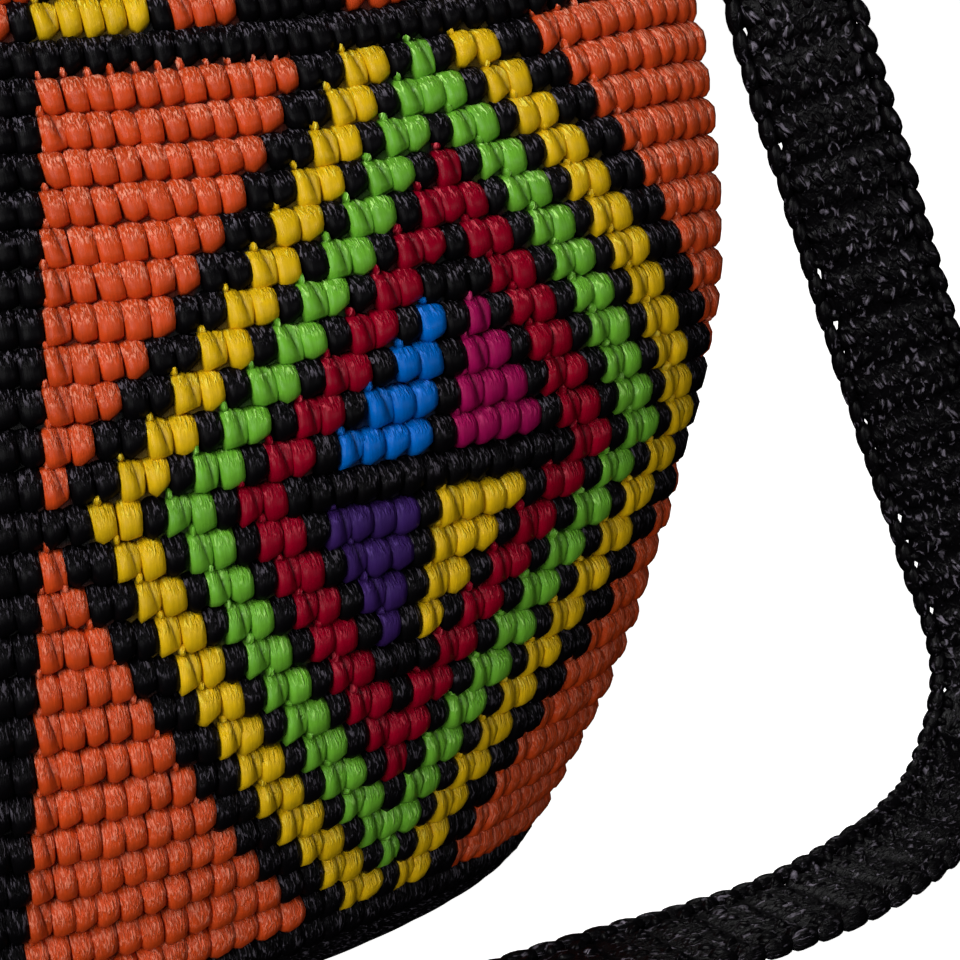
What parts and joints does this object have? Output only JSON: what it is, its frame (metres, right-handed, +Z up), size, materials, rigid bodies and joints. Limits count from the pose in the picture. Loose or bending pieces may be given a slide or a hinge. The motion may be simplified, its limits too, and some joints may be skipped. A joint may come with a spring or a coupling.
{
  "type": "crocheted straw shoulder bag",
  "caption": "Open-topped crocheted straw shoulder bag with stepped diamond pattern, standing on its flat base, with a flat strap sewn to both sides of the rim.",
  "frame": {"origin": "middle of the flat base, on the floor the bag stands on", "axes": "+Z up through the mouth, -Y towards the front where the strap lies, +X to the right side of the rim"},
  "size_m": [0.5266, 0.2376, 0.3087],
  "materials": {
    "base_straw": "black raffia straw, crocheted, satin",
    "wall_straw": "coloured raffia straw in tapestry crochet, satin",
    "rim_straw": "black raffia straw edging, satin",
    "strap_straw": "black raffia straw, crocheted in ridges, satin"
  },
  "bodies": {
    "root": {"base": "base_straw", "body_wall": "wall_straw", "rim_edge": "rim_straw", "strap": "strap_straw"}
  },
  "joints": []
}
